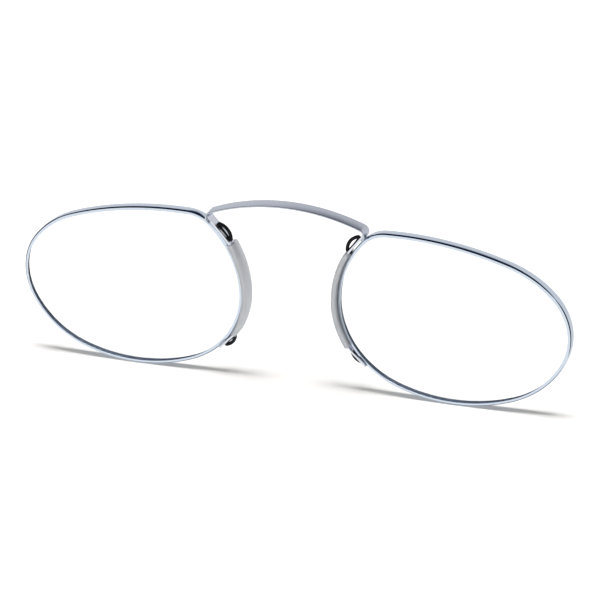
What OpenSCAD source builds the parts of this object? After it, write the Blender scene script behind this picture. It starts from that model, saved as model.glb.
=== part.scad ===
// Pince-nez: two lenses in grooved eyewires, joined over the nose by one flat leaf spring.
// +X is the wearer's width, -Y faces forward, +Z is up, and the lower rims rest on Z = 0.
// The right half (+X) is drawn, and the left half is its mirror image.

/* [Lenses] */
// Width of the lens opening in its rim
lens_w = 46; // [40:0.5:52]
// Distance between the two lens openings at their nearest
lens_gap = 21; // [19:0.1:24]
// Radius of the base curve that rims and lens edges follow
base_curve_r = 119; // [100:1:160]
// Radius of the front surface of the lens
lens_front_r = 112; // [100:1:160]
// Radius of the back surface of the lens
lens_back_r = 124; // [100:1:180]
// Thickness of the lens at its centre
lens_t = 1.7; // [1.5:0.1:2]

/* [Eyewires] */
// Radial thickness of the eyewire
rim_t = 0.6; // [0.5:0.05:0.8]
// Depth of the eyewire, front to back
rim_d = 1.9; // [1.7:0.1:2.2]
// Depth of the groove inside the eyewire
groove_depth = 0.3; // [0.2:0.05:0.35]
// Width of the groove at its mouth
groove_w = 0.9; // [0.7:0.05:1]
// Play between the lens and the eyewire
lens_play = 0.03; // [0.02:0.01:0.05]

/* [Bridge spring] */
// Width of the leaf, front to back
leaf_w = 2.8; // [2.4:0.1:3]
// Thickness of the leaf
leaf_t = 0.32; // [0.28:0.02:0.38]
// Radius of the long arch, to the middle of the leaf
arch_r = 40.5; // [38:0.5:46]
// Height of the arch above the middle of the lenses
arch_rise = 20.5; // [20.2:0.1:21.5]
// Radius of the tight bend at each end, to the middle of the leaf
bend_r = 1.2; // [1:0.05:1.3]
// Length of the tab that laps the pad strip
tab_len = 0.5; // [0.3:0.1:0.5]

/* [Pad strips] */
// Width of the strip, front to back
strip_w = 2.8; // [2.4:0.1:3]
// Thickness of the strip
strip_t = 0.4; // [0.3:0.05:0.4]
// Lean of the straight upper leg from upright
leg_lean = 40; // [38:0.5:42]
// Distance from the lens opening to the strip inside the sleeve
strip_off = 1.16; // [1.16:0.01:1.3]
// Distance from the lens opening to the strip where the sleeve begins
shoulder_off = 1.22; // [1.18:0.02:1.3]

/* [Sleeves] */
// Thickness of the soft sleeve
sleeve_t = 1; // [0.85:0.05:1.05]
// Width of the sleeve, front to back
sleeve_w = 3.9; // [3.4:0.1:4.2]

/* [Stop loops] */
// Diameter of the loop's strand
strand_d = 0.6; // [0.5:0.05:0.65]
// Height of the upper loop off the strip
upper_rise = 1; // [0.85:0.05:1.1]
// Height of the lower loop off the strip
lower_rise = 0.8; // [0.7:0.05:0.9]

/* [Hidden] */
$fn = 96;
// Film of solder between two faces that are brazed
film = 0.01;

// The lens outline is a closed chain of nine tangent arcs. An arc runs between two
// directions of the outward normal: 0 temple, 90 brow, 180 nose, 270 cheek.
normals = [-30, 40, 70, 95, 136, 178, 223, 250, 290, 330];
// Radii in proportion to each other. The temple arc [0] and the lower nasal arc [6]
// are left at 0 here, because they follow from closing the outline.
set_radii = [0, 20, 57.5, 7, 20, 16.3, 0, 34.5, 18.5];
temple_arc = 0;
closing_arc = 6;
// Angle between two points of the outline
outline_step = 3.75;

function ray(a) = [cos(a), sin(a)];
function chord(i) = ray(normals[i + 1]) - ray(normals[i]);
function total(list, i) = i < 0 ? [0, 0] : list[i] + total(list, i - 1);
function cross2(a, b) = a[0] * b[1] - a[1] * b[0];

arcs = [for (i = [0:8]) i];
open_gap = -total([for (i = arcs) set_radii[i] * chord(i)], 8);
closing_det = cross2(chord(temple_arc), chord(closing_arc));
temple_r = cross2(open_gap, chord(closing_arc)) / closing_det;
closing_r = cross2(chord(temple_arc), open_gap) / closing_det;
raw_radii = [for (i = arcs) i == temple_arc ? temple_r : i == closing_arc ? closing_r : set_radii[i]];
raw_starts = [for (i = arcs) total([for (k = arcs) raw_radii[k] * chord(k)], i - 1)];
raw_centres = [for (i = arcs) raw_starts[i] - raw_radii[i] * ray(normals[i])];
raw_right = raw_centres[0][0] + raw_radii[0];
raw_left = raw_centres[5][0] - raw_radii[5];
raw_top = raw_centres[2][1] + raw_radii[2];
raw_low = raw_centres[7][1] - raw_radii[7];
fit_scale = lens_w / (raw_right - raw_left);
raw_middle = [(raw_right + raw_left) / 2, (raw_top + raw_low) / 2];
radii = [for (r = raw_radii) r * fit_scale];
centres = [for (c = raw_centres) (c - raw_middle) * fit_scale];
lens_h = (raw_top - raw_low) * fit_scale;

// Places of the main pieces
lens_x = (lens_gap + lens_w) / 2;
lens_z = lens_h / 2 + rim_t;
lens_centre = [lens_x, lens_z];
nose_reach = lens_w / 2;
strip_y_raw = nose_reach * nose_reach / (2 * base_curve_r);
// The frontmost point is the lens, and the hindmost is the sleeve
middle_y = (strip_y_raw + sleeve_w / 2 - lens_t / 2) / 2;
lens_y = -middle_y;
strip_y = strip_y_raw - middle_y;

// A point on the outline, grown by off, where the outward normal has angle a
function arc_at(a, i = 0) = a < normals[i + 1] || i == 8 ? i : arc_at(a, i + 1);
function on_outline(a, off) = lens_centre + centres[arc_at(a)] + (radii[arc_at(a)] + off) * ray(a);

// The filled outline, grown by off
module outline(off) {
    polygon([for (a = [normals[0]:outline_step:normals[9] - outline_step]) on_outline(a, off)]);
}

// Stands a drawing in X and Z upright, and gives it the depth d about the plane y
module upright(d, y) {
    translate([0, y, 0])
        rotate([90, 0, 0])
            linear_extrude(height = d, center = true)
                children();
}

module ball(r, y) {
    translate([lens_x, lens_y + y + r, lens_z])
        sphere(r = r, $fn = 240);
}

// The space between two spheres about the base curve, d thick
module base_shell(d) {
    difference() {
        ball(base_curve_r + d / 2, -d / 2);
        ball(base_curve_r - d / 2, d / 2);
    }
}

// What lies in the grown outline and within the depth d of the base curve
module curved_plate(off, d) {
    intersection() {
        upright(16, 0) outline(off);
        base_shell(d);
    }
}

module rim() {
    color([0.78, 0.79, 0.82])
        difference() {
            curved_plate(rim_t, rim_d);
            upright(18, 0) outline(0);
            curved_plate(groove_depth, groove_w);
        }
}

module lens() {
    color([0.86, 0.91, 0.96, 0.35]) {
        intersection() {
            upright(16, 0) outline(-lens_play);
            difference() {
                ball(lens_front_r, -lens_t / 2);
                ball(lens_back_r, lens_t / 2);
            }
        }
        curved_plate(groove_depth - lens_play, groove_w - 2 * lens_play);
    }
}

// The leaf is a long arch, a tight bend and a short tab at each end. The tab lies
// along the leg of the pad strip, on its lens side.
leg_normal = 180 - leg_lean;
up_leg = ray(leg_normal - 90);
// How much nearer the lens the tab lies than the rim's face below it, because the
// rim turns away at the tab
tab_sink = 0.07;
tab_off = rim_t + film + leaf_t / 2 - tab_sink;
arch_centre = [0, lens_z + arch_rise - arch_r];
tab_line = on_outline(leg_normal, tab_off + bend_r) - arch_centre;
tab_along = tab_line * up_leg;
bend_along = -tab_along + sqrt(tab_along * tab_along - tab_line * tab_line + pow(arch_r - bend_r, 2));
bend_centre = arch_centre + tab_line + bend_along * up_leg;
arch_half = atan2(bend_centre[0], bend_centre[1] - arch_centre[1]);
arch_steps = 24;
bend_steps = 16;

// Half of the leaf's outline from its crown to the tab's end, off to the outer side
function half_leaf(off) = concat(
    [for (i = [0:arch_steps]) arch_centre + (arch_r + off) * ray(90 - i * arch_half / arch_steps)],
    [for (i = [1:bend_steps])
        bend_centre + (bend_r + off) * ray(90 - arch_half - i * (90 - arch_half + leg_lean) / bend_steps)],
    [bend_centre + (bend_r + off) * ray(-leg_lean) - tab_len * up_leg]
);
function mirrored(points) = [for (p = points) [-p[0], p[1]]];
function reversed(points) = [for (i = [len(points) - 1:-1:0]) points[i]];

module bridge_spring() {
    color([0.7, 0.72, 0.76])
        upright(leaf_w, strip_y)
            polygon(concat(
                reversed(mirrored(half_leaf(leaf_t / 2))), half_leaf(leaf_t / 2),
                reversed(half_leaf(-leaf_t / 2)), mirrored(half_leaf(-leaf_t / 2))
            ));
}

// The strip's distance from the lens opening, by the angle of the outline's normal:
// it starts on the tab, stands off for the sleeve and comes to lie on the rim.
leg_off = tab_off + leaf_t / 2 + film + strip_t / 2;
tail_off = rim_t + film + strip_t / 2;
sleeve_from = 151;
sleeve_to = 213;
strip_keys = [[leg_normal, leg_off], [sleeve_from, shoulder_off], [170, strip_off], [211, strip_off],
    [221, tail_off], [240, tail_off]];
tail_end = 228;
strip_step = 2;

function ease(t) = (1 - cos(180 * t)) / 2;
function strip_off_at(a, i = 0) =
    a <= strip_keys[i + 1][0] || i == len(strip_keys) - 2
    ? strip_keys[i][1] + (strip_keys[i + 1][1] - strip_keys[i][1])
        * ease((a - strip_keys[i][0]) / (strip_keys[i + 1][0] - strip_keys[i][0]))
    : strip_off_at(a, i + 1);
function strip_line(from, to, off) = [for (a = [from:strip_step:to]) on_outline(a, strip_off_at(a) + off)];
leg_length = bend_along;

// A band along the strip's middle line, t thick
module strip_band(from, to, t) {
    polygon(concat(strip_line(from, to, t / 2), reversed(strip_line(from, to, -t / 2))));
}

// A loop of soft strand: a chord in the strip's slot, an arch on its nose side and
// a round stud at each end. low and high are the places of the studs. The upper
// loop's low stud stands proud on the lens side, and the others on the nose side.
function near_strip(a, lift) = on_outline(a, strip_off_at(a) + lift);
upper_low_lift = -0.12;
upper_high_lift = 0.05;
upper_reach = 0.8;
lower_lift = 0.13;
lower_from = 226;
lower_to = 214;
seat_turn = 0.5;
upper_low = near_strip(sleeve_from - seat_turn, upper_low_lift);
upper_high = near_strip(leg_normal, upper_high_lift) + upper_reach * up_leg;
lower_low = near_strip(lower_from, lower_lift);
lower_high = near_strip(lower_to, lower_lift);
upper_stud_r = 0.4;
lower_stud_r = 0.32;
slot_play = 0.03;

// Stands midway between two places on the strip, with +X along the strip and +Z
// toward the nose
module on_strip(low, high) {
    middle = (low + high) / 2;
    along = high - low;
    translate([middle[0], strip_y, middle[1]])
        rotate([0, -atan2(along[1], along[0]), 0])
            children();
}

module along_x(r, length) {
    rotate([0, 90, 0])
        cylinder(r = r, h = length, center = true);
}

module studs(low, high, r) {
    on_strip(low, high)
        for (end = [-1, 1])
            translate([end * norm(high - low) / 2, 0, 0])
                sphere(r = r, $fn = 48);
}

module stop_loop(low, high, rise, stud_r) {
    span = norm(high - low);
    loop_r = span * span / (8 * rise) + rise / 2;
    half = asin(span / 2 / loop_r);
    color([0.06, 0.06, 0.07]) {
        studs(low, high, stud_r);
        on_strip(low, high) {
            along_x(strand_d / 2, span);
            translate([0, 0, rise - loop_r])
                rotate([90, 0, 0])
                    rotate_extrude(angle = 2 * half, start = 90 - half)
                        translate([loop_r, 0])
                            circle(d = strand_d, $fn = 32);
        }
    }
}

module loop_slot(low, high, stud_r) {
    span = norm(high - low);
    on_strip(low, high) {
        cube([span, strand_d + 2 * slot_play, 2], center = true);
        for (end = [-1, 1])
            translate([end * span / 2, 0, 0])
                cylinder(r = stud_r + slot_play, h = 2, center = true);
    }
}

module pad_strip() {
    color([0.76, 0.77, 0.8])
        difference() {
            upright(strip_w, strip_y)
                polygon(concat(
                    [on_outline(leg_normal, leg_off - strip_t / 2) + leg_length * up_leg,
                        on_outline(leg_normal, leg_off + strip_t / 2) + leg_length * up_leg],
                    strip_line(leg_normal, tail_end, strip_t / 2),
                    reversed(strip_line(leg_normal, tail_end, -strip_t / 2))
                ));
            loop_slot(upper_low, upper_high, upper_stud_r);
            loop_slot(lower_low, lower_high, lower_stud_r);
        }
}

sleeve_edge = 0.35;

// A tube round the strip, with its ends hollowed to seat the nearest stud
module sleeve() {
    color([0.8, 0.82, 0.85, 0.6])
        difference() {
            union() {
                upright(sleeve_w - sleeve_edge, strip_y)
                    strip_band(sleeve_from, sleeve_to, sleeve_t);
                upright(sleeve_w, strip_y)
                    strip_band(sleeve_from, sleeve_to, sleeve_t - sleeve_edge);
            }
            upright(strip_w + 2 * film, strip_y)
                strip_band(sleeve_from - strip_step, sleeve_to + strip_step, strip_t + 2 * film);
            studs(upper_low, upper_high, upper_stud_r + slot_play);
            studs(lower_low, lower_high, lower_stud_r + slot_play);
        }
}

// Solder between the tab's end, the rim's brow corner and the pad strip
braze_w = 2.3;
upper_braze_low = 1.3;

module upper_braze() {
    color([0.72, 0.72, 0.72])
        upright(braze_w, strip_y)
            difference() {
                polygon([for (corner = [[0, 0], [1, 0], [1, 1], [0, 1]])
                    on_outline(leg_normal, corner[1] * (leg_off - strip_t / 2))
                    + (upper_braze_low + corner[0] * (leg_length - tab_len - upper_braze_low)) * up_leg]);
                outline(rim_t);
            }
}

// Solder in the two corners where the strip's tail overhangs the rim
tail_from = 220;
solder_t = 0.3;

module lower_braze() {
    color([0.72, 0.72, 0.72])
        difference() {
            upright(strip_w - 0.1, strip_y)
                polygon(concat(
                    [for (a = [tail_from:strip_step:tail_end]) on_outline(a, rim_t + film)],
                    [for (a = [tail_end:-strip_step:tail_from]) on_outline(a, rim_t - solder_t)]
                ));
            base_shell(rim_d);
        }
}

module on_side(side) {
    if (side == "left") mirror([1, 0, 0]) children();
    else children();
}

module upper_stop_loop() {
    stop_loop(upper_low, upper_high, upper_rise, upper_stud_r);
}

module lower_stop_loop() {
    stop_loop(lower_low, lower_high, lower_rise, lower_stud_r);
}

bridge_spring();
on_side("left") rim();  // left_rim
on_side("right") rim();  // right_rim
on_side("left") lens();  // left_lens
on_side("right") lens();  // right_lens
on_side("left") pad_strip();  // left_pad_strip
on_side("right") pad_strip();  // right_pad_strip
on_side("left") sleeve();  // left_sleeve
on_side("right") sleeve();  // right_sleeve
on_side("left") upper_stop_loop();  // left_upper_stop_loop
on_side("right") upper_stop_loop();  // right_upper_stop_loop
on_side("left") lower_stop_loop();  // left_lower_stop_loop
on_side("right") lower_stop_loop();  // right_lower_stop_loop
on_side("left") upper_braze();  // left_upper_braze
on_side("right") upper_braze();  // right_upper_braze
on_side("left") lower_braze();  // left_lower_braze
on_side("right") lower_braze();  // right_lower_braze
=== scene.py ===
"""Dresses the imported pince-nez: eyewires, lenses, leaf spring, strips, sleeves and loops.

Every piece is a surface worked out with numpy from the same few driving sizes as the
solids, in millimetres, and written into its mesh in metres. The right half is worked out
and the left half is its mirror image in the plane X = 0.
"""

import logging
import math
from dataclasses import dataclass, field
from enum import Enum
from typing import Any, Iterable, Optional, Sequence, Union

import bpy
import numpy as np
from mathutils import Matrix, Vector


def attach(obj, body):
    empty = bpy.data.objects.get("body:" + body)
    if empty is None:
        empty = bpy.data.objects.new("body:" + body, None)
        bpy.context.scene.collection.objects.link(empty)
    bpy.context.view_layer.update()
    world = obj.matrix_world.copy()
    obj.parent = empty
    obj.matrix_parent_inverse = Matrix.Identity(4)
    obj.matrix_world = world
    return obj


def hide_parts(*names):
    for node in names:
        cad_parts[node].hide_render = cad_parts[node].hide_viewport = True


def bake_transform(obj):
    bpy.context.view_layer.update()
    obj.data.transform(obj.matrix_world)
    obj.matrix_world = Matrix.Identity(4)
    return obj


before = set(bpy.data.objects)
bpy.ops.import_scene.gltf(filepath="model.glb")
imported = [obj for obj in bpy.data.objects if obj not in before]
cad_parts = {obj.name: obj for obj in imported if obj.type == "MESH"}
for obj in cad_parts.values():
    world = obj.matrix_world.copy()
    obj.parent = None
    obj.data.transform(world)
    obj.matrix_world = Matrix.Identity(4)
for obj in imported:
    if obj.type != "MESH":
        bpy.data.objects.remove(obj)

LOG = logging.getLogger("pince_nez")
MM = 0.001


class Side(Enum):
    """Which half of the glasses a piece belongs to, as the sign of its X."""

    LEFT = -1
    RIGHT = 1

    @property
    def word(self) -> str:
        """The side's name, as the solids' names begin."""
        return self.name.lower()

    @property
    def body(self) -> str:
        """The moving body that the side's pieces ride on."""
        return f"{self.word}_half"

    @property
    def slip(self) -> float:
        """How far the side's soft sleeve has slid up its strip, in degrees of the normal."""
        return 3.6 if self is Side.RIGHT else 0.0


# Shader nodes


class Value:
    """A shader socket with Python's operators, each of which adds one Math node."""

    def __init__(self, graph: "Graph", socket: bpy.types.NodeSocket) -> None:
        """Keeps the graph and its output socket."""
        self.graph = graph
        self.socket = socket

    def _math(self, operation: str, first: Any, second: Any) -> "Value":
        """Adds a Math node of that operation."""
        node = self.graph.add("ShaderNodeMath", {"operation": operation}, {0: first, 1: second})
        return Value(self.graph, node.outputs[0])

    def most(self, other: Any) -> "Value":
        """The greater of self and other."""
        return self._math("MAXIMUM", self, other)

    def __add__(self, other: Any) -> "Value":
        """self + other, and other + self."""
        return self._math("ADD", self, other)

    def __mul__(self, other: Any) -> "Value":
        """self times other, and other times self."""
        return self._math("MULTIPLY", self, other)

    def __sub__(self, other: Any) -> "Value":
        """self - other."""
        return self._math("SUBTRACT", self, other)

    def __rsub__(self, other: Any) -> "Value":
        """other - self."""
        return self._math("SUBTRACT", other, self)

    __radd__ = __add__
    __rmul__ = __mul__


class Graph:
    """The node tree of one material or of the world.

    A Mix node has its own pair of inputs for each kind of data. The colours' are given
    here by their numbers.
    """

    MIX_COLOURS = (6, 7)
    MIX_RESULT = 2

    def __init__(self, owner: Union[bpy.types.Material, bpy.types.World]) -> None:
        """Clears the owner's node tree and keeps it.

        Args:
            owner: The material or the world.
        """
        owner.use_nodes = True
        self.tree = owner.node_tree
        self.tree.nodes.clear()

    def add(
        self, kind: str, settings: Optional[dict] = None, inputs: Optional[dict] = None
    ) -> bpy.types.Node:
        """Adds a node to the tree.

        Args:
            kind: The node's type name.
            settings: Properties of the node, set before its sockets.
            inputs: Values or links by socket name or number.

        Returns:
            The new node.
        """
        node = self.tree.nodes.new(kind)
        for name, setting in (settings or {}).items():
            setattr(node, name, setting)
        for name, given in (inputs or {}).items():
            self.feed(node.inputs[name], given)
        return node

    def feed(self, socket: bpy.types.NodeSocket, given: Any) -> None:
        """Gives a socket what it needs.

        Args:
            socket: The input socket.
            given: A Value or a node's output to link, or a number of its own.
        """
        if isinstance(given, Value):
            self.tree.links.new(given.socket, socket)
        elif isinstance(given, bpy.types.NodeSocket):
            self.tree.links.new(given, socket)
        else:
            socket.default_value = given

    def noise(self, scale: float, detail: float, stretch: Sequence[float] = (1.0, 1.0, 1.0)) -> Value:
        """Noise over the object's own coordinates, from 0 to 1.

        Args:
            scale: Waves in a metre.
            detail: Finer layers in it.
            stretch: Scale of each axis, for grain that runs one way.

        Returns:
            The noise as a Value.
        """
        where = self.add("ShaderNodeTexCoord").outputs["Object"]
        place = self.add("ShaderNodeMapping", None, {"Vector": where, "Scale": stretch}).outputs["Vector"]
        node = self.add("ShaderNodeTexNoise", None, {"Vector": place, "Scale": scale, "Detail": detail})
        return Value(self, node.outputs["Fac"])

    def blend(self, factor: Any, low: Any, high: Any) -> bpy.types.NodeSocket:
        """Mixes two colours: low * (1 - factor) + high * factor.

        Args:
            factor: The share of high.
            low: A socket or three numbers.
            high: A socket or three numbers.

        Returns:
            The mixed colour.
        """
        node = self.add("ShaderNodeMix", {"data_type": "RGBA"}, {0: factor})
        for number, colour in zip(self.MIX_COLOURS, (low, high)):
            self.feed(node.inputs[number], (*colour, 1.0) if isinstance(colour, tuple) else colour)
        return node.outputs[self.MIX_RESULT]

    def facing(self, axis: Sequence[float], low: float, high: float) -> Value:
        """How far a world direction faces an axis, with a smooth step between two cosines.

        Args:
            axis: The axis.
            low: The cosine at which the step begins.
            high: The cosine at which it ends.

        Returns:
            A Value from 0 to 1.
        """
        where = self.add("ShaderNodeTexCoord").outputs["Generated"]
        dot = self.add("ShaderNodeVectorMath", {"operation": "DOT_PRODUCT"}, {0: where, 1: axis})
        ends = {"Value": dot.outputs["Value"], "From Min": low, "From Max": high}
        near = self.add("ShaderNodeMapRange", {"interpolation_type": "SMOOTHSTEP"}, ends)
        return Value(self, near.outputs[0])

    def bump(self, height: Any, strength: float, distance: float) -> bpy.types.NodeSocket:
        """A bumped normal."""
        inputs = {"Height": height, "Strength": strength, "Distance": distance}
        return self.add("ShaderNodeBump", None, inputs).outputs["Normal"]

    def finish(self, shader: bpy.types.Node, kind: str = "ShaderNodeOutputMaterial") -> None:
        """Links the shader to an output of that kind."""
        self.add(kind, None, {"Surface": shader.outputs[0]})


# Finishes


@dataclass(frozen=True)
class Finish:
    """A finish: its material's name, its slot in the record and its shader's inputs."""

    name: str
    slot: str

    def inputs(self, graph: Graph) -> dict:
        """What the finish feeds to its Principled shader.

        Args:
            graph: The graph that takes its nodes.

        Returns:
            Values and links by socket name.
        """
        raise NotImplementedError

    def make(self) -> bpy.types.Material:
        """Builds one Principled shader with the finish's inputs.

        Returns:
            The new material.
        """
        material = bpy.data.materials.new(self.name)
        graph = Graph(material)
        graph.finish(graph.add("ShaderNodeBsdfPrincipled", None, self.inputs(graph)))
        return material


@dataclass(frozen=True)
class Steel(Finish):
    """Stainless steel, from a mirror polish to a fine satin.

    The grain is a stretched noise that varies the roughness and lifts a shallow bump. A
    noise with waves cloud times as long changes the tone.
    """

    colour: tuple = (0.74, 0.80, 0.87)
    shade: tuple = (0.68, 0.74, 0.82)
    roughness: float = 0.06
    spread: float = 0.05
    grain: float = 900.0
    grain_detail: float = 4.0
    stretch: tuple = (1.0, 1.0, 1.0)
    cloud: float = 9.0
    cloud_detail: float = 2.0
    bump: float = 0.03
    bump_height: float = 0.00002

    def inputs(self, graph: Graph) -> dict:
        """Metal with the grain in its roughness and bump, and the cloud in its tone.

        Args:
            graph: The graph that takes its nodes.

        Returns:
            Values and links by socket name.
        """
        grain = graph.noise(self.grain, self.grain_detail, self.stretch)
        cloud = graph.noise(self.grain / self.cloud, self.cloud_detail)
        return {
            "Base Color": graph.blend(cloud, self.shade, self.colour),
            "Metallic": 1.0,
            "Roughness": grain * self.spread + (self.roughness - self.spread / 2),
            "Normal": graph.bump(grain, self.bump, self.bump_height),
        }


@dataclass(frozen=True)
class ClearLens(Finish):
    """A clear coated lens: smooth glass with a faint cool tint."""

    name: str = "clear_lens"
    slot: str = "clear_lens"
    tint: tuple = (0.955, 0.972, 0.992)
    ior: float = 1.5

    def inputs(self, graph: Graph) -> dict:
        """Even glass, without a pattern."""
        return {
            "Base Color": (*self.tint, 1.0),
            "Roughness": 0.0,
            "IOR": self.ior,
            "Transmission Weight": 1.0,
        }


@dataclass(frozen=True)
class MattSkin(Finish):
    """A matt skin: one noise for its tone and roughness, and one for its bump.

    The roughness is low + spread * noise.
    """

    dark: tuple
    pale: tuple
    low: float
    spread: float
    bump: float
    cloud: float
    cloud_detail: float = 3.0
    stretch: tuple = (1.0, 1.0, 1.0)
    grain: float = 0.0
    grain_detail: float = 2.0
    bump_height: float = 0.00003
    extra: dict = field(default_factory=dict)

    def inputs(self, graph: Graph) -> dict:
        """The skin and the extra inputs. Where grain is 0, the cloud lifts the bump.

        Args:
            graph: The graph that takes its nodes.

        Returns:
            Values and links by socket name.
        """
        cloud = graph.noise(self.cloud, self.cloud_detail, self.stretch)
        grain = graph.noise(self.grain, self.grain_detail) if self.grain else cloud
        return {
            "Base Color": graph.blend(cloud, self.dark, self.pale),
            "Roughness": cloud * self.spread + self.low,
            "Normal": graph.bump(grain, self.bump, self.bump_height),
            **self.extra,
        }


CLEAR_LENS = ClearLens()
# The lens's ground edge in a dark slate: painted shade, the dark line where the lens sits in the eyewire.
GROUND_EDGE_PAINTED_SHADE = MattSkin(
    "ground_lens_edge_painted_shade", "clear_lens", dark=(0.07, 0.10, 0.16), pale=(0.11, 0.15, 0.22),
    low=0.45, spread=0.2, bump=0.15, cloud=2600.0, stretch=(1.0, 0.2, 1.0),
)
SILICONE = MattSkin(
    "clear_silicone", "clear_silicone", dark=(0.67, 0.69, 0.73), pale=(0.78, 0.80, 0.83),
    low=0.28, spread=0.12, bump=0.06, cloud=350.0, grain=5000.0,
    extra={"IOR": 1.41, "Transmission Weight": 0.35},
)
ELASTOMER = MattSkin(
    "black_elastomer", "black_elastomer", dark=(0.004, 0.005, 0.008), pale=(0.009, 0.010, 0.014),
    low=0.4, spread=0.1, bump=0.05, cloud=1500.0, extra={"Specular IOR Level": 0.25},
)
POLISHED = Steel("polished_steel", "polished_steel")
SATIN = Steel(
    "satin_steel", "satin_steel", colour=(0.68, 0.70, 0.75), shade=(0.60, 0.62, 0.68),
    roughness=0.24, spread=0.12, grain=1600.0, stretch=(0.12, 1.0, 1.0), bump=0.12,
)
# A lighter copy of the satin steel for the pad strips: painted sheen, so that the strips look whiter under
# the light.
STRIP_STEEL_PAINTED_SHEEN = Steel(
    "strip_steel_painted_sheen", "satin_steel", colour=(0.86, 0.87, 0.91), shade=(0.78, 0.79, 0.84),
    roughness=0.28, spread=0.1, grain=1800.0, stretch=(1.0, 1.0, 0.15), bump=0.08,
)
SOLDER = Steel(
    "silver_braze", "silver_braze", colour=(0.74, 0.77, 0.83), shade=(0.66, 0.69, 0.76),
    roughness=0.26, spread=0.14, grain=1400.0, bump=0.08,
)


# Shapes in the plane


def ray(degrees: Union[float, np.ndarray]) -> np.ndarray:
    """The unit vector at an angle: (cos a, sin a), over the last axis."""
    turn = np.radians(degrees)
    return np.stack([np.cos(turn), np.sin(turn)], axis=-1)


def full_turn(count: int) -> np.ndarray:
    """That many equal steps round a full turn, in radians, without the last."""
    return np.linspace(0, 2 * np.pi, count, endpoint=False)


def unit(vectors: np.ndarray) -> np.ndarray:
    """The vectors at length 1."""
    return vectors / np.linalg.norm(vectors, axis=-1, keepdims=True)


def left_of(vectors: np.ndarray) -> np.ndarray:
    """The vectors turned a quarter turn to the left: (-y, x)."""
    return np.stack([-vectors[..., 1], vectors[..., 0]], -1)


def filleted(corners: Sequence[Sequence[float]], steps: int = 6) -> np.ndarray:
    """A closed section with round corners.

    Each corner is a point and a radius. Its arc touches both sides at the distance
    radius * tan(turn / 2) from the corner, and is cut into equal angles.

    Args:
        corners: (x, y, radius) of each corner, in order round the section.
        steps: Pieces in each arc.

    Returns:
        The section's points, as an array of (points, 2).
    """
    given = np.asarray(corners, float)
    points, radii = given[:, :2], given[:, 2]
    before = unit(points - np.roll(points, 1, axis=0))
    after = unit(np.roll(points, -1, axis=0) - points)
    turn = np.arctan2((left_of(before) * after).sum(1), (before * after).sum(1))
    start = points - before * (radii * np.tan(np.abs(turn) / 2))[:, None]
    arm = -left_of(before) * (np.sign(turn) * radii)[:, None]
    part = turn[:, None, None] * np.linspace(0, 1, steps + 1)[:, None]
    arc = np.cos(part) * arm[:, None] + np.sin(part) * left_of(arm)[:, None]
    return ((start - arm)[:, None] + arc).reshape(-1, 2)


def rounded_bar(width: float, height: float, radius: float, steps: int = 6) -> np.ndarray:
    """A rectangle about the origin with round corners, as filleted() makes it."""
    x, y = width / 2, height / 2
    return filleted([(-x, -y, radius), (x, -y, radius), (x, y, radius), (-x, y, radius)], steps)


@dataclass
class Path:
    """A line in the XZ plane."""

    points: np.ndarray

    def run(self) -> np.ndarray:
        """Length along the line at each point."""
        steps = np.linalg.norm(np.diff(self.points, axis=0), axis=1)
        return np.concatenate([[0.0], np.cumsum(steps)])

    def cut(self, runs: np.ndarray) -> "Path":
        """The line at those lengths along it."""
        run = self.run()
        return Path(np.stack([np.interp(runs, run, self.points[:, k]) for k in (0, 1)], 1))

    def even(self, count: int) -> "Path":
        """The line at equal steps."""
        return self.cut(np.linspace(0, self.run()[-1], count))

    def lefts(self) -> np.ndarray:
        """Unit vectors a quarter turn left of the line's direction."""
        return left_of(unit(np.gradient(self.points, axis=0)))

    def rounding(self, length: float) -> np.ndarray:
        """How far a quarter circle has drawn in at each point: 1 - sqrt(1 - near^2).

        Args:
            length: How far from either end it begins.

        Returns:
            0 between the ends' stretches, rising to 1 at the ends.
        """
        run = self.run()
        near = np.clip(1 - np.minimum(run, run[-1] - run) / length, 0, 1)
        return 1 - np.sqrt(1 - near**2)


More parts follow.
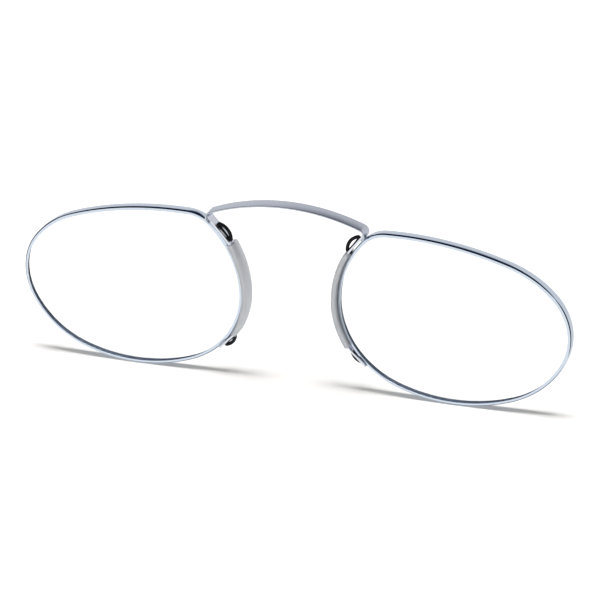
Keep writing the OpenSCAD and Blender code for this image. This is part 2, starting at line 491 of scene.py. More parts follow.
@dataclass
class Outline:
    """The lens outline: a closed chain of tangent arcs about the lens centre.

    An arc runs between two directions of the outward normal. Two radii follow from the
    rule that the chords add up to nothing: sum of r * (ray(end) - ray(start)) = 0.
    """

    width: float = 46.0
    normals: tuple = (-30, 40, 70, 95, 136, 178, 223, 250, 290, 330)
    radii_given: tuple = (0, 20, 57.5, 7, 20, 16.3, 0, 34.5, 18.5)
    free: tuple = (0, 6)
    right_arc: int = 0
    top_arc: int = 2
    left_arc: int = 5
    low_arc: int = 7
    fine: int = 7201
    radii: np.ndarray = field(init=False)
    centres: np.ndarray = field(init=False)
    height: float = field(init=False)

    def __post_init__(self) -> None:
        """Solves the two free radii, then scales and centres the outline."""
        edge = np.asarray(self.normals, float)
        radii = np.asarray(self.radii_given, float)
        chords = ray(edge[1:]) - ray(edge[:-1])
        gap = -(radii[:, None] * chords).sum(0)
        radii[list(self.free)] = np.linalg.solve(chords[list(self.free)].T, gap)
        starts = np.cumsum(radii[:, None] * chords, axis=0) - radii[:, None] * chords
        centres = starts - radii[:, None] * ray(edge[:-1])
        right = centres[self.right_arc, 0] + radii[self.right_arc]
        top = centres[self.top_arc, 1] + radii[self.top_arc]
        left = centres[self.left_arc, 0] - radii[self.left_arc]
        low = centres[self.low_arc, 1] - radii[self.low_arc]
        scale = self.width / (right - left)
        self.radii = radii * scale
        self.centres = (centres - np.array([(right + left) / 2, (top + low) / 2])) * scale
        self.height = (top - low) * scale

    def at(self, angle: np.ndarray, off: Union[float, np.ndarray] = 0.0) -> np.ndarray:
        """Points where the outward normal has that angle.

        Args:
            angle: Normal angles in degrees, from -30 to 330.
            off: How far the outline is grown.

        Returns:
            Points (..., 2) about the lens centre: centre of the arc + (r + off) * ray(angle).
        """
        angle = np.asarray(angle, float)
        index = np.searchsorted(self.normals, angle, side="right") - 1
        index = np.clip(index, 0, len(self.radii) - 1)
        reach = self.radii[index] + off
        return self.centres[index] + reach[..., None] * ray(angle)

    def even_angles(self, count: int) -> np.ndarray:
        """Cuts the outline into equal lengths.

        Args:
            count: Number of the lengths.

        Returns:
            The normal angle at the start of each.
        """
        fine = np.linspace(self.normals[0], self.normals[-1], self.fine)
        run = Path(self.at(fine)).run()
        return np.interp(np.linspace(0, run[-1], count, endpoint=False), run, fine)


@dataclass
class Sizes:
    """The driving sizes in millimetres, and the places that follow from them."""

    lens_gap: float = 21.0
    base_curve_r: float = 119.0
    lens_front_r: float = 112.0
    lens_back_r: float = 124.0
    lens_t: float = 1.7
    rim_t: float = 0.6
    rim_d: float = 1.9
    groove_depth: float = 0.3
    groove_w: float = 0.9
    play: float = 0.03
    leaf_w: float = 3.0
    leaf_t: float = 0.32
    arch_r: float = 42.5
    arch_rise: float = 20.5
    bend_r: float = 1.2
    tab_len: float = 0.5
    tab_sink: float = 0.07
    strip_w: float = 2.2
    strip_ahead: float = 0.25
    leaf_ahead: float = 0.35
    strip_t: float = 0.4
    leg_lean: float = 40.0
    strip_off: float = 1.16
    shoulder_off: float = 1.22
    sleeve_t: float = 1.0
    sleeve_w: float = 3.9
    strand_d: float = 0.7
    film: float = 0.01
    outline: Outline = field(default_factory=Outline)

    def __post_init__(self) -> None:
        """Works out the places of the main pieces."""
        half = self.outline.width / 2
        self.lens_x = self.lens_gap / 2 + half
        self.lens_z = self.outline.height / 2 + self.rim_t
        nose_sag = half * half / (2 * self.base_curve_r)
        middle_y = (nose_sag + self.sleeve_w / 2 - self.lens_t / 2) / 2
        self.lens_y = -middle_y
        self.strip_y = nose_sag - middle_y
        self.leg_normal = 180 - self.leg_lean
        self.up_leg = ray(self.leg_normal - 90)
        self.tab_off = self.rim_t + self.film + self.leaf_t / 2 - self.tab_sink
        self.leg_off = self.tab_off + (self.leaf_t + self.strip_t) / 2 + self.film
        self.tail_off = self.rim_t + self.film + self.strip_t / 2
        self.arch_centre = np.array([0.0, self.lens_z + self.arch_rise - self.arch_r])
        line = self.on_outline(self.leg_normal, self.tab_off + self.bend_r) - self.arch_centre
        along = line @ self.up_leg
        self.leg_length = -along + math.sqrt(along**2 - line @ line + (self.arch_r - self.bend_r) ** 2)
        self.bend_centre = self.arch_centre + line + self.leg_length * self.up_leg
        reach = self.bend_centre - self.arch_centre
        self.arch_half = math.degrees(math.atan2(reach[0], reach[1]))

    def on_outline(self, angle: Union[float, np.ndarray], off: Union[float, np.ndarray]) -> np.ndarray:
        """Points of the right lens's outline in X and Z, grown by off."""
        return self.outline.at(angle, off) + np.array([self.lens_x, self.lens_z])

    def cap_y(self, flat: np.ndarray, radius: Union[float, np.ndarray], middle: float) -> np.ndarray:
        """Y of a sphere's front over a point: middle - sqrt(radius^2 - rho^2).

        Args:
            flat: X and Z of the points.
            radius: The sphere's radius.
            middle: Y of its middle, behind the base curve's vertex.

        Returns:
            Y of the points.
        """
        rho2 = ((flat - np.array([self.lens_x, self.lens_z])) ** 2).sum(-1)
        return self.lens_y + middle - np.sqrt(radius**2 - rho2)

    def base_y(self, flat: np.ndarray, depth: Union[float, np.ndarray]) -> np.ndarray:
        """Y at a depth behind the base curve, measured along its radius."""
        return self.cap_y(flat, self.base_curve_r - depth, self.base_curve_r)


@dataclass
class StripLine:
    """The middle line of the right pad strip, by the angle of the outline's normal.

    Its distance from the lens opening eases between named places as (1 - cos) / 2.
    """

    sizes: Sizes
    shoulder: float = 151.0
    clear_from: float = 170.0
    clear_to: float = 211.0
    on_rim: float = 221.0
    tail_end: float = 228.0
    last: float = 240.0
    curl: float = 50.0
    curl_points: int = 40
    curve_points: int = 700

    def off_at(self, angle: np.ndarray) -> np.ndarray:
        """The line's distance from the lens opening.

        Args:
            angle: Normal angles in degrees.

        Returns:
            The distance at each of them.
        """
        s = self.sizes
        keys = np.array([s.leg_normal, self.shoulder, self.clear_from, self.clear_to, self.on_rim, self.last])
        offs = np.array([s.leg_off, s.shoulder_off, s.strip_off, s.strip_off, s.tail_off, s.tail_off])
        index = np.clip(np.searchsorted(keys, angle, side="right") - 1, 0, len(keys) - 2)
        share = (angle - keys[index]) / (keys[index + 1] - keys[index])
        return offs[index] + (offs[index + 1] - offs[index]) * (1 - np.cos(np.pi * share)) / 2

    def points(self, angle: np.ndarray) -> np.ndarray:
        """Points of the middle line in X and Z."""
        angle = np.asarray(angle, float)
        return self.sizes.on_outline(angle, self.off_at(angle))

    def path(self, count: int) -> Path:
        """The whole line: a curl inside the leaf's bend, the straight leg and the curve.

        Args:
            count: Points along it.

        Returns:
            The path.
        """
        s = self.sizes
        curve = self.points(np.linspace(s.leg_normal, self.tail_end, self.curve_points))
        inside = s.bend_r - (s.leaf_t + s.strip_t) / 2 - s.film
        curl = s.bend_centre + inside * ray(np.linspace(self.curl, 0, self.curl_points) - s.leg_lean)
        return Path(np.vstack([curl, curve])).even(count)


# Meshes


def grid_faces(rows: int, columns: int, wrap_rows: bool, wrap_columns: bool) -> np.ndarray:
    """Quads between neighbours of a grid of points.

    Args:
        rows: Points along the first parameter.
        columns: Points along the second.
        wrap_rows: Whether the last row meets the first.
        wrap_columns: Whether the last column meets the first.

    Returns:
        Corner numbers of each quad, (quads, 4).
    """
    i, j = np.meshgrid(
        np.arange(rows if wrap_rows else rows - 1),
        np.arange(columns if wrap_columns else columns - 1), indexing="ij",
    )
    here, after = i * columns, (i + 1) % rows * columns
    following = (j + 1) % columns
    return np.stack([here + j, after + j, after + following, here + following], -1).reshape(-1, 4)


def upright(flat: np.ndarray, y: Union[float, np.ndarray]) -> np.ndarray:
    """Points (..., 3) from their X and Z (..., 2) and their Y."""
    return np.stack([flat[..., 0], np.broadcast_to(y, flat.shape[:-1]), flat[..., 1]], -1)


def link(name: str, data: Any) -> bpy.types.Object:
    """Puts a new object into the scene.

    Args:
        name: Its name.
        data: Its mesh, lamp or camera.

    Returns:
        The object.
    """
    thing = bpy.data.objects.new(name, data)
    bpy.context.scene.collection.objects.link(thing)
    return thing


def make_sheet(
    name: str, points: np.ndarray, faces: Iterable[Sequence[int]], side: Side
) -> bpy.types.Object:
    """Writes points in millimetres of the right half into a smooth mesh of that side.

    Args:
        name: Name of the object.
        points: Points (..., 3).
        faces: Corner numbers of each face.
        side: LEFT mirrors the points in X and turns the faces back.

    Returns:
        The object, at the origin.
    """
    placed = points.reshape(-1, 3) * MM * np.array([side.value, 1.0, 1.0])
    polygons = [list(face)[::side.value] for face in faces]
    mesh = bpy.data.meshes.new(name)
    mesh.from_pydata(placed.tolist(), [], polygons)
    mesh.polygons.foreach_set("use_smooth", [True] * len(mesh.polygons))
    return link(name, mesh)


def turn_outward(mesh: bpy.types.Mesh) -> None:
    """Turns a closed mesh's faces outward where its signed volume is below nothing.

    Six times the volume is the sum of a . (b x c) over the triangles.

    Args:
        mesh: The mesh.
    """
    mesh.calc_loop_triangles()
    corners = np.empty(len(mesh.loop_triangles) * 3, int)
    mesh.loop_triangles.foreach_get("vertices", corners)
    where = np.empty(len(mesh.vertices) * 3)
    mesh.vertices.foreach_get("co", where)
    a, b, c = np.moveaxis(where.reshape(-1, 3)[corners.reshape(-1, 3)], 1, 0)
    if np.einsum("ij,ij->i", a, np.cross(b, c)).sum() < 0:
        mesh.flip_normals()


def make_solid(
    name: str, points: np.ndarray, faces: Iterable[Sequence[int]], side: Side
) -> bpy.types.Object:
    """Makes a closed piece, with its faces outward.

    Args:
        name: Name of the object.
        points: Points (..., 3) in millimetres of the right half.
        faces: Corner numbers of each face.
        side: LEFT mirrors it, as in make_sheet().

    Returns:
        The object, at the origin.
    """
    piece = make_sheet(name, points, faces, side)
    piece.data.validate()
    turn_outward(piece.data)
    return piece


def swept(path: Path, section: np.ndarray, y: float) -> np.ndarray:
    """A section carried along a path.

    The point at (i, k) is path[i] + left[i] * section_n[i, k], with Y = y + section_y[i, k].

    Args:
        path: The path in XZ.
        section: (Y, distance to the path's left) of each point, (points, 2) where it stays
            the same or (path, points, 2) where it changes.
        y: Y of the path's plane.

    Returns:
        Points (path, section, 3).
    """
    flat = path.points[:, None] + path.lefts()[:, None] * section[..., 1:]
    return upright(flat, y + section[..., 0])


def capped(rows: int, columns: int) -> list:
    """Faces of a swept solid: its quads and a cap at each end.

    Args:
        rows: Sections along it.
        columns: Points in each section.

    Returns:
        Corner numbers of each face.
    """
    faces = grid_faces(rows, columns, False, True).tolist()
    faces.append(list(range(columns)))
    faces.append(list(range((rows - 1) * columns, rows * columns))[::-1])
    return faces


def joined(shells: Sequence[tuple]) -> tuple:
    """Puts closed shells that don't touch into one piece.

    Args:
        shells: The points and the faces of each.

    Returns:
        All their points, (points, 3), and faces, whose corners are counted on.
    """
    points = [part.reshape(-1, 3) for part, _ in shells]
    starts = np.cumsum([0, *map(len, points)])
    faces = [[corner + start for corner in face] for start, (_, own) in zip(starts, shells) for face in own]
    return np.vstack(points), faces


# Pieces


@dataclass
class Builder:
    """Shared by the sub-assemblies: the sizes and the materials made so far."""

    sizes: Sizes = field(default_factory=Sizes)
    materials: dict = field(default_factory=dict)

    def dress(self, piece: bpy.types.Object, finish: Finish) -> None:
        """Gives a piece its material, made once.

        Args:
            piece: The piece.
            finish: Its finish.
        """
        if finish.name not in self.materials:
            self.materials[finish.name] = finish.make()
        piece.data.materials.append(self.materials[finish.name])

    def place(self, piece: bpy.types.Object, finish: Finish, body: str, *nodes: str) -> None:
        """Dresses a piece, rides it on its body and hides the solids that it stands for.

        Args:
            piece: The piece.
            finish: Its finish.
            body: The moving body.
            nodes: Names of the solids.
        """
        self.dress(piece, finish)
        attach(piece, body)
        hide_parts(*nodes)
        LOG.info("%s: %d faces on %s", piece.name, len(piece.data.polygons), body)


@dataclass
class SidePart:
    """A sub-assembly of one side."""

    builder: Builder
    side: Side

    @property
    def sizes(self) -> Sizes:
        """The driving sizes."""
        return self.builder.sizes

    def solid(self, name: str, points: np.ndarray, faces: Iterable[Sequence[int]]) -> bpy.types.Object:
        """Makes a closed piece of this side; name comes after the side's."""
        return make_solid(f"{self.side.word}_{name}", points, faces, self.side)

    def place(self, piece: bpy.types.Object, finish: Finish, node: str) -> None:
        """Places a piece on this side's body, for this side's solid of that name."""
        self.builder.place(piece, finish, self.side.body, f"{self.side.word}_{node}")


@dataclass
class Eyewire(SidePart):
    """The grooved wire round one lens."""

    outer_round: float = 0.3
    depth: float = 1.84
    lip: float = 0.12
    lip_behind: float = 0.82
    lip_round: float = 0.07
    mouth_round: float = 0.04
    groove_round: float = 0.03
    corner_steps: int = 7
    around: int = 720

    def section(self) -> np.ndarray:
        """The wire's section, with the groove inside and a thin lip before and behind.

        Returns:
            The distance from the opening and the depth of each point.
        """
        s, lip, soft = self.sizes, self.lip, self.lip_round / 3
        mouth, behind, face = s.groove_w / 2, self.lip_behind, self.depth / 2
        front = [
            (s.groove_depth, -mouth, self.groove_round), (0, -mouth, self.mouth_round),
            (0, -behind, soft), (-lip, -behind, soft),
            (-lip, -face, self.lip_round), (s.rim_t, -face, self.outer_round),
        ]
        back = [(off, -depth, radius) for off, depth, radius in reversed(front)]
        return filleted(front + back, self.corner_steps)

    def build(self) -> None:
        """Carries the section round the outline.

        X and Z are the grown outline's, and Y is the base curve's at the section's depth.
        """
        s = self.sizes
        angle = s.outline.even_angles(self.around)
        section = self.section()
        flat = s.on_outline(angle[:, None], section[None, :, 0])
        points = upright(flat, s.base_y(flat, section[None, :, 1]))
        faces = grid_faces(self.around, len(section), True, True).tolist()
        self.place(self.solid("eyewire", points, faces), POLISHED, "rim")


@dataclass
class Lens(SidePart):
    """One lens with the tongue that sits in the eyewire's groove."""

    around: int = 360
    rings: int = 30
    edge_round: float = 0.05
    bevel: float = 0.22

    def build(self) -> None:
        """A closed surface of rings: front cap, edge with its tongue, back cap.

        A ring is the outline shrunk towards the lens centre by a share from 0 to 1, and
        its Y is that of the front or back sphere. The edge and the bevel behind it are
        ground and have their own material. Its dark slate is painted shade for the dark
        line where the lens sits in the eyewire. The lens casts no shadow of its own.
        """
        s = self.sizes
        angle = s.outline.even_angles(self.around)
        centre = np.array([s.lens_x, s.lens_z])
        share = np.linspace(0, 1, self.rings + 1)[1:]
        edge = s.on_outline(angle, -s.play)
        soft = s.on_outline(angle, -s.play - self.edge_round)
        face = centre + (soft - centre) * share[:, None, None]
        front = self.lift(face, s.lens_front_r, -s.lens_t / 2)
        bevel = s.on_outline(angle, -s.play - self.bevel)
        back = self.lift(np.stack([*face[:-1], bevel, soft]), s.lens_back_r, s.lens_t / 2)
        half = s.groove_w / 2 - s.play
        tongue = s.on_outline(angle, s.groove_depth - s.play)
        rings = [
            *front,
            self.lift(edge, s.lens_front_r, -s.lens_t / 2 + self.edge_round),
            self.on_base(edge, -half), self.on_base(tongue, -half),
            self.on_base(tongue, half), self.on_base(edge, half),
            self.lift(edge, s.lens_back_r, s.lens_t / 2 - self.edge_round),
            *back[::-1],
        ]
        poles = upright(np.stack([centre, centre]), s.lens_y + np.array([-0.5, 0.5]) * s.lens_t)
        points = np.vstack([*rings, poles])
        piece = self.solid("clear_lens", points, self.faces(len(rings)))
        piece.visible_shadow = False
        self.place(piece, CLEAR_LENS, "lens")
        self.paint_edge_shade(piece, len(front), len(rings) - len(back) + 1)

    def faces(self, count: int) -> list:
        """Quads between the rings and a fan of triangles to each pole.

        Args:
            count: Number of rings; the two poles come after their points.

        Returns:
            Corner numbers of each face.
        """
        here = np.arange(self.around)
        after = (here + 1) % self.around
        last, pole = (count - 1) * self.around, np.full_like(here, count * self.around)
        fans = [np.stack([pole, here, after], 1), np.stack([pole + 1, after + last, here + last], 1)]
        return grid_faces(count, self.around, False, True).tolist() + np.vstack(fans).tolist()

    def paint_edge_shade(self, piece: bpy.types.Object, first: int, last: int) -> None:
        """Gives rings of faces the ground edge's material, whose dark slate is painted shade.

        Args:
            piece: The lens.
            first: The first ring of faces that gets it.
            last: The first one after them that doesn't.
        """
        piece.data.materials.append(GROUND_EDGE_PAINTED_SHADE.make())
        index = np.zeros(len(piece.data.polygons), int)
        index[first * self.around:last * self.around] = 1
        piece.data.polygons.foreach_set("material_index", index)

    def lift(self, flat: np.ndarray, radius: float, depth: float) -> np.ndarray:
        """Puts X, Z points on a lens surface, whose vertex is at that depth."""
        return upright(flat, self.sizes.cap_y(flat, radius, depth + radius))

    def on_base(self, flat: np.ndarray, depth: float) -> np.ndarray:
        """Puts X, Z points at a depth behind the base curve."""
        return upright(flat, self.sizes.base_y(flat, depth))


@dataclass
class BridgeSpring:
    """The leaf over the nose, with a tight bend and a tab at each end."""

    builder: Builder
    edge_round: float = 0.1
    end_round: float = 0.12
    end_share: float = 0.72
    arch_points: int = 90
    bend_points: int = 60
    tab_points: int = 8

    def half(self) -> np.ndarray:
        """The right half's middle line: arch, bend and tab.

        Returns:
            Its points from the crown to the tab's end, in X and Z.
        """
        s = self.builder.sizes
        over = 90 - s.arch_half
        arch = s.arch_centre + s.arch_r * ray(np.linspace(90, over, self.arch_points))
        bend = s.bend_centre + s.bend_r * ray(np.linspace(over, -s.leg_lean, self.bend_points)[1:])
        tab = bend[-1] - np.linspace(0, s.tab_len, self.tab_points)[1:, None] * s.up_leg
        return np.vstack([arch, bend, tab])

    def build(self) -> None:
        """Carries the leaf's round-edged section along the line.

        Over end_round at each end it shrinks to end_share of its size, as a quarter circle.
        """
        s = self.builder.sizes
        right = self.half()
        path = Path(np.vstack([(right * np.array([-1, 1]))[::-1], right[1:]]))
        section = rounded_bar(s.leaf_w, s.leaf_t, self.edge_round)
        scale = 1 - (1 - self.end_share) * path.rounding(self.end_round)
        y = s.strip_y - s.leaf_ahead
        points = swept(path, section * scale[:, None, None], y)
        piece = make_solid("leaf_spring", points, capped(*points.shape[:2]), Side.RIGHT)
        self.builder.dress(piece, SATIN)
        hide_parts("bridge_spring")
        reach, height = s.bend_centre * MM
        Side.LEFT.body
        Side.RIGHT.body
        -reach
        y * MM
        y * MM
        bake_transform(piece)
        LOG.info("leaf_spring: %d faces across both halves", len(piece.data.polygons))


@dataclass
class PadStrip(SidePart):
    """The slotted steel strip from the leaf's tab down to the rim's lower corner.

    Its sheet has six rows of points across. The slots take up the middle column of quads.
    """

    edge_round: float = 0.07
    edge_angle: float = 50.0
    edge_steps: int = 3
    slot_play: float = 0.03
    slot_column: int = 2
    inner_row: float = 0.7
    rows: int = 160
    fine: int = 400

    def build(self) -> None:
        """Carries the rows along the strip's line, leaves out the slots and makes it thick.

        The point at (i, k) is path[i], with Y = strip_y - strip_ahead + across[k].
        """
        s = self.sizes
        whole = StripLine(s).path(self.fine)
        run = whole.run()
        holes = StudPlaces(self.side).pairs(s)
        ends = [self.nearest(whole, place) for pair in holes for place in pair]
        runs = np.unique(np.round(np.concatenate([np.linspace(0, run[-1], self.rows), ends]), 4))
        path = whole.cut(runs)
        half = s.strip_w / 2
        hole = s.strand_d / 2 + self.slot_play
        inner = half * self.inner_row
        across = np.array([-half, -inner, -hole, hole, inner, half])
        flat = np.repeat(path.points[:, None], len(across), axis=1)
        points = upright(flat, s.strip_y - s.strip_ahead + across)
        quads = grid_faces(len(runs), len(across), False, False)
        row, column = np.divmod(quads[:, 0], len(across))
        middle = (runs[row] + runs[row + 1]) / 2
        gone = np.zeros(len(quads), bool)
        for low, high in zip(ends[0::2], ends[1::2]):
            gone |= (column == self.slot_column) & (middle > min(low, high)) & (middle < max(low, high))
        piece = self.plate(points, quads[~gone].tolist())
        # The strip's steel is a lighter copy of the satin steel: painted sheen.
        self.place(piece, STRIP_STEEL_PAINTED_SHEEN, "pad_strip")

    def nearest(self, path: Path, place: np.ndarray) -> float:
        """Length along the path at its point nearest a place."""
        return float(path.run()[np.argmin(np.linalg.norm(path.points - place, axis=1))])

    def plate(self, points: np.ndarray, faces: list) -> bpy.types.Object:
        """Makes the open sheet and gives it its thickness and soft edges.

        Args:
            points: Points of the right strip's middle surface.
            faces: Corner numbers of its quads.

        Returns:
            The strip of this side.
        """
        piece = make_sheet(f"{self.side.word}_slotted_strip", points, faces, self.side)
        thick = piece.modifiers.new("thickness", "SOLIDIFY")
        thick.thickness = self.sizes.strip_t * MM
        thick.offset = 0.0
        soft = piece.modifiers.new("soft_edges", "BEVEL")
        soft.width = self.edge_round * MM
        soft.segments = self.edge_steps
        soft.limit_method = "ANGLE"
        soft.angle_limit = math.radians(self.edge_angle)
        soft.harden_normals = True
        return piece


@dataclass
class Sleeve(SidePart):
    """The translucent silicone tube over the middle of the strip."""

    edge_round: float = 0.38
    end_round: float = 0.34
    start: float = 151.0
    end: float = 213.0
    low_follows: float = 0.5
    fine: int = 300
    rows: int = 150
    corner_steps: int = 8

    def build(self) -> None:
        """Carries a round-cornered section along the strip's line.

        At the ends the section is drawn in by up to end_round on every side. A sleeve that
        has slid up is longer: its low end has moved less than its top end.
        """
        s, slip = self.sizes, self.side.slip
        span = np.linspace(self.start - slip, self.end - slip * self.low_follows, self.fine)
        path = Path(StripLine(s).points(span)).even(self.rows)
        size = np.array([s.sleeve_w, s.sleeve_t])
        section = rounded_bar(*size, self.edge_round, self.corner_steps)
        scale = 1 - 2 * self.end_round / size * path.rounding(self.end_round)[:, None, None]
        points = swept(path, section * scale, s.strip_y)
        piece = self.solid("silicone_sleeve", points, capped(*points.shape[:2]))
        self.place(piece, SILICONE, "sleeve")


@dataclass(frozen=True)
class StudPlaces:
    """Where the ends of one side's two loops stand on the strip.

    The angles are those of the outline's normal, and a lift goes from the strip's middle
    towards the nose. Where the sleeve has slid up, the upper loop follows it: its low end
    by a share of the slip, and its high end by millimetres for each degree of the slip.
    """

    side: Side
    over_shoulder: float = 0.5
    low_follows: float = 0.6
    low_lift: float = 0.1
    up_leg: float = 0.8
    high_follows: float = 0.25
    high_lift: float = 0.22
    tail: float = 226.0
    middle: float = 214.0
    lower_lift: float = 0.13

    def pairs(self, sizes: Sizes) -> list:
        """Works out the ends.

        Args:
            sizes: The driving sizes.

        Returns:
            The low and the high end of the upper loop, then of the lower loop, in X and Z.
        """
        line, slip = StripLine(sizes), self.side.slip
        low_angle = line.shoulder - self.over_shoulder - self.low_follows * slip
        angle = np.array([low_angle, sizes.leg_normal, self.tail, self.middle])
        lift = np.array([self.low_lift, self.high_lift, self.lower_lift, self.lower_lift])
        low, high, tail, middle = sizes.on_outline(angle, line.off_at(angle) + lift)
        return [(low, high + (self.up_leg + self.high_follows * slip) * sizes.up_leg), (tail, middle)]


@dataclass
class StopLoop(SidePart):
    """A soft black loop: a chord in the strip's slot and an arch on its nose side."""

    upper: bool
    rise: float
    stud: float
    corner: float = 0.28
    arch_round: float = 1.2
    arch_corners: int = 9
    corner_steps: int = 8
    stud_reach: float = 0.35
    bead_size: tuple = (0.45, 0.24, 0.38)
    bead_back: float = 0.42
    bead_up: float = 0.5
    bead_end: float = 0.1
    bead_rows: int = 14
    around: int = 20
    steps: int = 160

    def outline(self, span: float) -> np.ndarray:
        """The strand's middle line as a closed D: the chord, then the arch back.

        The arch's radius is span^2 / (8 rise) + rise / 2.

        Args:
            span: Length of the chord.

        Returns:
            Points along and across the chord, about its middle.
        """
        radius = span * span / (8 * self.rise) + self.rise / 2
        half = math.degrees(math.asin(span / 2 / radius))
        turn = np.linspace(90 - half, 90 + half, self.arch_corners)
        arch = np.array([0, self.rise - radius]) + radius * ray(turn)
        rounds = np.full(self.arch_corners, self.arch_round)
        rounds[[0, -1]] = self.corner
        line = filleted(np.column_stack([arch, rounds]), self.corner_steps)
        return Path(np.vstack([line, line[:1]])).even(self.steps + 1).points[:-1]

    def bead(self, low: np.ndarray, along: np.ndarray, nose: np.ndarray, y: float) -> tuple:
        """The flattened bead behind the strip that keeps the loop's low end: an ellipsoid.

        Args:
            low: The low end of the chord, in X and Z.
            along: The chord's direction.
            nose: The direction towards the nose.
            y: Y of the loop's middle.

        Returns:
            The bead's points and its faces.
        """
        most = np.pi / 2 - self.bead_end
        tilt = np.linspace(-most, most, self.bead_rows)[:, None, None]
        turn = full_turn(self.around)[:, None]
        length, thick, width = self.bead_size
        up = self.bead_up + length * np.cos(tilt) * np.cos(turn)
        out = thick * np.cos(tilt) * np.sin(turn) - self.bead_back
        points = upright(low + up * along + out * nose, y + width * np.sin(tilt[..., 0]))
        return points, capped(self.bead_rows, self.around)

    def build(self) -> None:
        """A round tube round the D, thicker at its two ends.

        The radius is strand / 2 + extra * exp(-(distance to the end / stud_reach)^2).
        """
        s = self.sizes
        low, high = StudPlaces(self.side).pairs(s)[0 if self.upper else 1]
        span = float(np.linalg.norm(high - low))
        line = self.outline(span)
        left = left_of(unit(np.roll(line, -1, axis=0) - np.roll(line, 1, axis=0)))
        ends = np.array([[-span / 2, 0], [span / 2, 0]])
        near = np.exp(-((line[:, None] - ends) ** 2).sum(-1) / self.stud_reach**2).sum(1)
        radius = (s.strand_d / 2 + (self.stud - s.strand_d / 2) * near)[:, None]
        turn = full_turn(self.around)
        local = line[:, None] + left[:, None] * (radius * np.cos(turn))[..., None]
        along = (high - low) / span
        nose = left_of(along)
        flat = (low + high) / 2 + local[..., :1] * along + local[..., 1:] * nose
        y = s.strip_y - s.strip_ahead
        tube = grid_faces(len(line), self.around, True, True).tolist()
        shells = [(upright(flat, y + radius * np.sin(turn)), tube)]
        if self.upper:
            shells.append(self.bead(low, along, nose, y))
        word = "upper" if self.upper else "lower"
        self.place(self.solid(f"{word}_loop", *joined(shells)), ELASTOMER, f"{word}_stop_loop")


@dataclass
class Solder(SidePart):
    """The two brazed joints of one side."""

    upper_low: float = 1.3
    upper_w: float = 2.3
    upper_play: float = 0.03
    power: float = 0.45
    rows: int = 25
    around: int = 48
    tail_from: float = 220.0
    tail_to: float = 227.5
    fillet: float = 0.17
    flatter: float = 0.95
    sunk: float = 0.16
    proud: float = 0.15
    tail_rows: int = 60
    tail_around: int = 16
    weld: float = 0.0001

    def build(self) -> None:
        """Builds the joint at the leaf's tab and the two fillets along the tail."""
        self.upper()
        self.lower()

    def upper(self) -> None:
        """A pillow between the tab's end, the rim and the strip.

        It is an ellipsoid whose half sizes fill the gap, with each sine and cosine raised
        to a power below 1, which squares it up.
        """
        s = self.sizes
        high = s.leg_length - s.tab_len
        inner, outer = s.rim_t + self.upper_play, s.leg_off - s.strip_t / 2
        middle = s.on_outline(s.leg_normal, (inner + outer) / 2) + (self.upper_low + high) / 2 * s.up_leg
        tilt = np.linspace(-np.pi / 2, np.pi / 2, self.rows)[:, None, None]
        turn = full_turn(self.around)[:, None]
        up = (high - self.upper_low) / 2 * self.square(np.cos(tilt)) * self.square(np.cos(turn))
        out = (outer - inner) / 2 * self.square(np.cos(tilt)) * self.square(np.sin(turn))
        flat = middle + up * s.up_leg - out * ray(s.leg_normal)
        points = upright(flat, s.strip_y + self.upper_w / 2 * self.square(np.sin(tilt[..., 0])))
        faces = grid_faces(self.rows, self.around, False, True).tolist()
        self.braze("tab_solder", points, faces, "upper_braze")

    def square(self, wave: np.ndarray) -> np.ndarray:
        """The wave's size raised to the power, with its own sign."""
        return np.sign(wave) * np.abs(wave) ** self.power

    def lower(self) -> None:
        """Two slim fillets that follow the outline, in front of the rim and behind it.

        The section is round and shrinks to a point at both ends, as the root of a sine.
        """
        s = self.sizes
        angle = np.linspace(self.tail_from, self.tail_to, self.tail_rows)[:, None]
        wave = np.sin(np.linspace(0, np.pi, self.tail_rows))[:, None]
        reach = self.fillet * self.flatter * np.sqrt(np.clip(wave, 0, 1))
        turn = full_turn(self.tail_around)
        flat = s.on_outline(angle, s.rim_t - self.sunk + reach * np.cos(turn))
        faces = capped(self.tail_rows, self.tail_around)
        shells = []
        for front in (-1, 1):
            depth = front * (s.rim_d / 2 + self.proud) + reach * np.sin(turn)
            shells.append((upright(flat, s.base_y(flat, depth)), faces))
        self.braze("tail_solder", *joined(shells), "lower_braze")

    def braze(self, name: str, points: np.ndarray, faces: Iterable[Sequence[int]], node: str) -> None:
        """Makes and places a joint, whose points that fall together at the poles are merged.

        Args:
            name: Its name after the side's.
            points: Points (..., 3) of the right half.
            faces: Corner numbers of each face.
            node: The solid that it stands for, after the side's name.
        """
        piece = self.solid(name, points, faces)
        piece.modifiers.new("poles", "WELD").merge_threshold = self.weld * MM
        self.place(piece, SOLDER, node)


# Light and camera


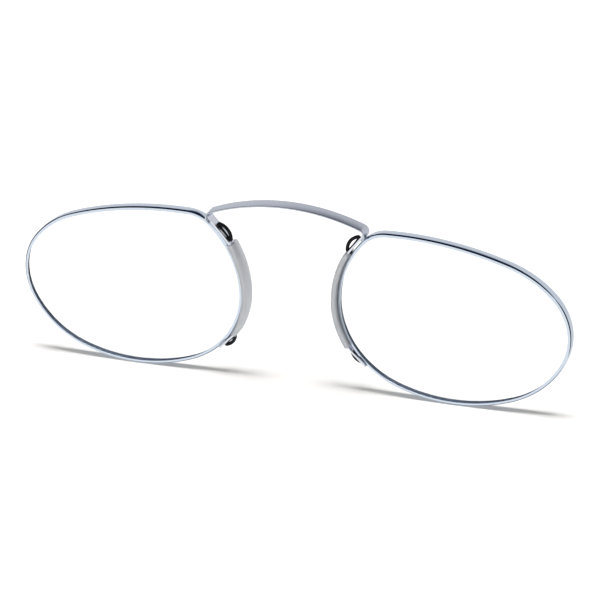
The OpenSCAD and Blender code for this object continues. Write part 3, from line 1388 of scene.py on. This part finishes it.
@dataclass(frozen=True)
class Studio:
    """The white table, the soft light, the room and the camera.

    A direction is (azimuth, elevation) in degrees: azimuth 0 is the front, 90 the right.
    A patch of the room fades between two cosines of the angle to its middle. The back
    wall's middle is given as a vector.
    """

    azimuth: float = 22.36
    elevation: float = 26.17
    roll: float = -3.11
    distance: float = 640.5
    target: tuple = (2.72, 1.37)
    focal_px: float = 3300.0
    frame_px: float = 600.0
    sensor: float = 36.0
    clip: tuple = (0.01, 20.0)
    ceiling: tuple = (-10.0, 78.0)
    ceiling_edge: tuple = (0.37, 0.45)
    doorways: tuple = ((75.0, -10.0), (-95.0, 0.0))
    doorway_edge: tuple = (0.77, 0.85)
    darkness: tuple = (0.012, 0.02, 0.045)
    back_wall: tuple = (-0.1, 0.9, 0.42)
    back_wall_edge: tuple = (-0.1, 0.7)
    bright: tuple = (0.95, 0.975, 1.0)
    greyer: tuple = (0.70, 0.72, 0.76)
    under_edge: tuple = (0.75, 0.95)
    under: tuple = (0.10, 0.13, 0.20)
    ambient: float = 0.35
    table_colour: tuple = (0.96, 0.95, 0.925)
    table_glow: float = 0.08
    table_reach: float = 3.0
    lamp_place: tuple = (0.0, 0.01, 0.8)
    lamp_size: tuple = (0.6, 0.22)
    lamp_power: float = 7.4

    def camera(self, sizes: Sizes) -> None:
        """Looks at the glasses from the right, above and in front.

        The camera stands at target + distance * away, and target is given in X and Z from
        the middle between the lenses.

        Args:
            sizes: The driving sizes.
        """
        azimuth, roll = math.radians(self.azimuth), math.radians(self.roll)
        away = Vector(self.toward(self.azimuth, self.elevation))
        right = Vector((math.cos(azimuth), math.sin(azimuth), 0.0))
        up = right.cross(-away)
        turned = math.cos(roll) * right + math.sin(roll) * up
        top = -math.sin(roll) * right + math.cos(roll) * up
        aim = Vector((self.target[0], sizes.lens_y, sizes.lens_z + self.target[1]))
        place = (aim + self.distance * away) * MM
        data = bpy.data.cameras.new("camera")
        data.sensor_width = self.sensor
        data.lens = self.sensor * self.focal_px / self.frame_px
        data.clip_start, data.clip_end = self.clip
        camera = link("camera", data)
        axes = Matrix((turned, top, away)).transposed()
        camera.matrix_world = Matrix.Translation(place) @ axes.to_4x4()
        bpy.context.scene.camera = camera

    def table(self) -> None:
        """A white table top that keeps the shadow: part of its white is its own."""
        mesh = bpy.data.meshes.new("table_top")
        reach = self.table_reach
        mesh.from_pydata(
            [(-reach, -reach, 0), (reach, -reach, 0), (reach, reach, 0), (-reach, reach, 0)],
            [], [(0, 1, 2, 3)],
        )
        table = link("table_top", mesh)
        material = bpy.data.materials.new("table_white")
        graph = Graph(material)
        matt = graph.add("ShaderNodeBsdfDiffuse", None, {"Color": (*self.table_colour, 1.0)})
        glow = graph.add("ShaderNodeEmission", None, {"Color": (1.0, 1.0, 1.0, 1.0), "Strength": 1.0})
        path = graph.add("ShaderNodeLightPath")
        seen = Value(graph, path.outputs["Is Camera Ray"]).most(path.outputs["Is Transmission Ray"])
        shaders = {0: seen * self.table_glow, 1: matt.outputs[0], 2: glow.outputs[0]}
        graph.finish(graph.add("ShaderNodeMixShader", None, shaders))
        mesh.materials.append(material)
        table.visible_glossy = False

    def light(self) -> None:
        """A soft light over the glasses, long in X, which keeps their shadow slim."""
        data = bpy.data.lights.new("soft_box_top", "AREA")
        data.shape = "RECTANGLE"
        data.size, data.size_y = self.lamp_size
        data.energy = self.lamp_power
        lamp = link("soft_box_top", data)
        lamp.location = self.lamp_place
        lamp.visible_glossy = False
        lamp.rotation_euler = Vector(self.lamp_place).to_track_quat("Z", "Y").to_euler()

    def toward(self, azimuth: float, elevation: float) -> tuple:
        """The unit vector of a direction: (sin az cos el, -cos az cos el, sin el)."""
        az, el = math.radians(azimuth), math.radians(elevation)
        return (math.sin(az) * math.cos(el), -math.cos(az) * math.cos(el), math.sin(el))

    def world(self) -> None:
        """A white room for the eye and the glass.

        Mirror reflections also find the dark ceiling and a dark doorway on either side, the
        greyer wall at the back and the shade under the table.
        """
        world = bpy.data.worlds.new("white_room")
        bpy.context.scene.world = world
        graph = Graph(world)
        path = graph.add("ShaderNodeLightPath")
        glossy = Value(graph, path.outputs["Is Glossy Ray"])
        wall = graph.facing(self.back_wall, *self.back_wall_edge)
        dark = graph.facing(self.toward(*self.ceiling), *self.ceiling_edge)
        for doorway in self.doorways:
            dark = dark.most(graph.facing(self.toward(*doorway), *self.doorway_edge))
        low = graph.facing((0.0, 0.0, -1.0), *self.under_edge)
        lit = graph.blend(low, graph.blend(wall, self.bright, self.greyer), self.under)
        mirrored = graph.blend(dark, lit, self.darkness)
        colour = graph.blend(glossy, (1.0, 1.0, 1.0), mirrored)
        shown = Value(graph, path.outputs["Is Camera Ray"])
        seen = shown.most(glossy).most(path.outputs["Is Transmission Ray"])
        strength = seen * (1.0 - self.ambient) + self.ambient
        back = graph.add("ShaderNodeBackground", None, {"Color": colour, "Strength": strength})
        graph.finish(back, "ShaderNodeOutputWorld")

    def build(self, sizes: Sizes) -> None:
        """Sets the whole stage and the plain view transform.

        Args:
            sizes: The driving sizes.
        """
        bpy.context.scene.view_settings.view_transform = "Standard"
        self.camera(sizes)
        self.table()
        self.light()
        self.world()


# The whole scene


def main() -> None:
    """Builds the stage and every piece."""
    logging.basicConfig(level=logging.INFO, format="%(name)s: %(message)s")
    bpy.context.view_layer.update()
    builder = Builder()
    Studio().build(builder.sizes)
    BridgeSpring(builder).build()
    for side in Side:
        Eyewire(builder, side).build()
        Lens(builder, side).build()
        PadStrip(builder, side).build()
        Sleeve(builder, side).build()
        StopLoop(builder, side, upper=True, rise=1.1, stud=0.42).build()
        StopLoop(builder, side, upper=False, rise=0.8, stud=0.36).build()
        Solder(builder, side).build()


if __name__ == "__main__":
    main()
